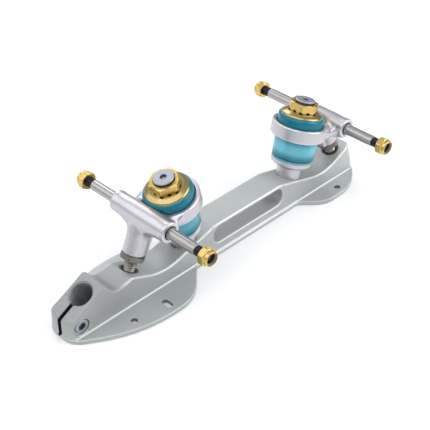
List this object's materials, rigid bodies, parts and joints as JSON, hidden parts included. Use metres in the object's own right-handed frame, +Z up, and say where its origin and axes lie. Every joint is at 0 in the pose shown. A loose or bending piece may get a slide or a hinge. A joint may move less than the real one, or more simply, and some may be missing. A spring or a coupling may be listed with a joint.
{
  "type": "roller skate plate",
  "caption": "Quad roller skate plate: cast chassis with a toe stop clamp and cushioned steering trucks that carry wheel axles with lock nuts.",
  "frame": {"origin": "centre of the bounding box on the sole plane", "axes": "+X from toe to heel, +Y to the left side, +Z up from the sole face towards the axles"},
  "size_m": [0.256, 0.1148, 0.0737],
  "materials": {
    "cast": "blasted casting",
    "hanger_metal": "satin casting",
    "steel": "brushed",
    "gold_zinc": "yellow zinc plate",
    "upper_urethane": "glossy",
    "lower_urethane": "clear glossy",
    "dark_nickel": "satin",
    "black_plastic": "matte",
    "nylon": "matte"
  },
  "bodies": {
    "chassis": {"chassis": "cast", "front_kingpin": "steel", "front_cushion_seat": "hanger_metal", "front_lower_cushion": "lower_urethane", "front_upper_cushion": "upper_urethane", "front_pivot_cup": "black_plastic", "rear_kingpin": "steel", "rear_cushion_seat": "hanger_metal", "rear_lower_cushion": "lower_urethane", "rear_upper_cushion": "upper_urethane", "rear_pivot_cup": "black_plastic"},
    "toe_clamp_screw": {"toe_clamp_screw": "steel"},
    "front_truck": {"front_hanger": "hanger_metal", "front_axle": "steel", "front_pivot_stud": "steel", "front_pivot_locknut": "dark_nickel"},
    "front_retainer_cup": {"front_retainer_cup": "gold_zinc"},
    "front_adjusting_nut": {"front_adjusting_nut": "gold_zinc"},
    "front_left_axle_nut": {"front_left_axle_nut": "gold_zinc", "front_left_nut_insert": "nylon"},
    "front_right_axle_nut": {"front_right_axle_nut": "gold_zinc", "front_right_nut_insert": "nylon"},
    "rear_truck": {"rear_hanger": "hanger_metal", "rear_axle": "steel", "rear_pivot_stud": "steel", "rear_pivot_locknut": "dark_nickel"},
    "rear_retainer_cup": {"rear_retainer_cup": "gold_zinc"},
    "rear_adjusting_nut": {"rear_adjusting_nut": "gold_zinc"},
    "rear_left_axle_nut": {"rear_left_axle_nut": "gold_zinc", "rear_left_nut_insert": "nylon"},
    "rear_right_axle_nut": {"rear_right_axle_nut": "gold_zinc", "rear_right_nut_insert": "nylon"}
  },
  "joints": [
    {"name": "toe_clamp_screw_turn", "type": "hinge", "parent": "chassis", "child": "toe_clamp_screw", "pos_m": [-0.1188, 0, 0.0094], "axis": [0, -1, 0], "range_deg": [0, 180]},
    {"name": "front_steer", "type": "hinge", "parent": "chassis", "child": "front_truck", "pos_m": [-0.07473, 0, 0.01718], "axis": [0.7236, 0, 0.6902], "range_deg": [-10, 10], "stiffness_Nm_per_rad": 40, "deforming": ["front_lower_cushion", "front_upper_cushion"]},
    {"name": "front_cup_slide", "type": "slide", "parent": "chassis", "child": "front_retainer_cup", "axis": [-0.2588, 0, 0.9659], "range_m": [-0.0015, 0.001], "deforming": ["front_upper_cushion"]},
    {"name": "front_adjust_turn", "type": "hinge", "parent": "front_retainer_cup", "child": "front_adjusting_nut", "pos_m": [-0.04084, 0, 0.06189], "axis": [-0.2588, 0, 0.9659], "range_deg": [-360, 240]},
    {"name": "front_left_axle_nut_slide", "type": "slide", "parent": "front_truck", "child": "front_left_axle_nut", "axis": [0, 1, 0], "range_m": [-0.005, 0.034]},
    {"name": "front_right_axle_nut_slide", "type": "slide", "parent": "front_truck", "child": "front_right_axle_nut", "axis": [0, -1, 0], "range_m": [-0.005, 0.034]},
    {"name": "rear_steer", "type": "hinge", "parent": "chassis", "child": "rear_truck", "pos_m": [0.11473, 0, 0.01718], "axis": [-0.7236, 0, 0.6902], "range_deg": [-10, 10], "stiffness_Nm_per_rad": 40, "deforming": ["rear_lower_cushion", "rear_upper_cushion"]},
    {"name": "rear_cup_slide", "type": "slide", "parent": "chassis", "child": "rear_retainer_cup", "axis": [0.2588, 0, 0.9659], "range_m": [-0.0015, 0.001], "deforming": ["rear_upper_cushion"]},
    {"name": "rear_adjust_turn", "type": "hinge", "parent": "rear_retainer_cup", "child": "rear_adjusting_nut", "pos_m": [0.08084, 0, 0.06189], "axis": [0.2588, 0, 0.9659], "range_deg": [-360, 240]},
    {"name": "rear_left_axle_nut_slide", "type": "slide", "parent": "rear_truck", "child": "rear_left_axle_nut", "axis": [0, 1, 0], "range_m": [-0.005, 0.034]},
    {"name": "rear_right_axle_nut_slide", "type": "slide", "parent": "rear_truck", "child": "rear_right_axle_nut", "axis": [0, -1, 0], "range_m": [-0.005, 0.034]}
  ],
  "couplings": [
    {"joint": "front_cup_slide", "follows": "front_adjust_turn", "m_per_rad": 0.00023873},
    {"joint": "rear_cup_slide", "follows": "rear_adjust_turn", "m_per_rad": 0.00023873}
  ]
}
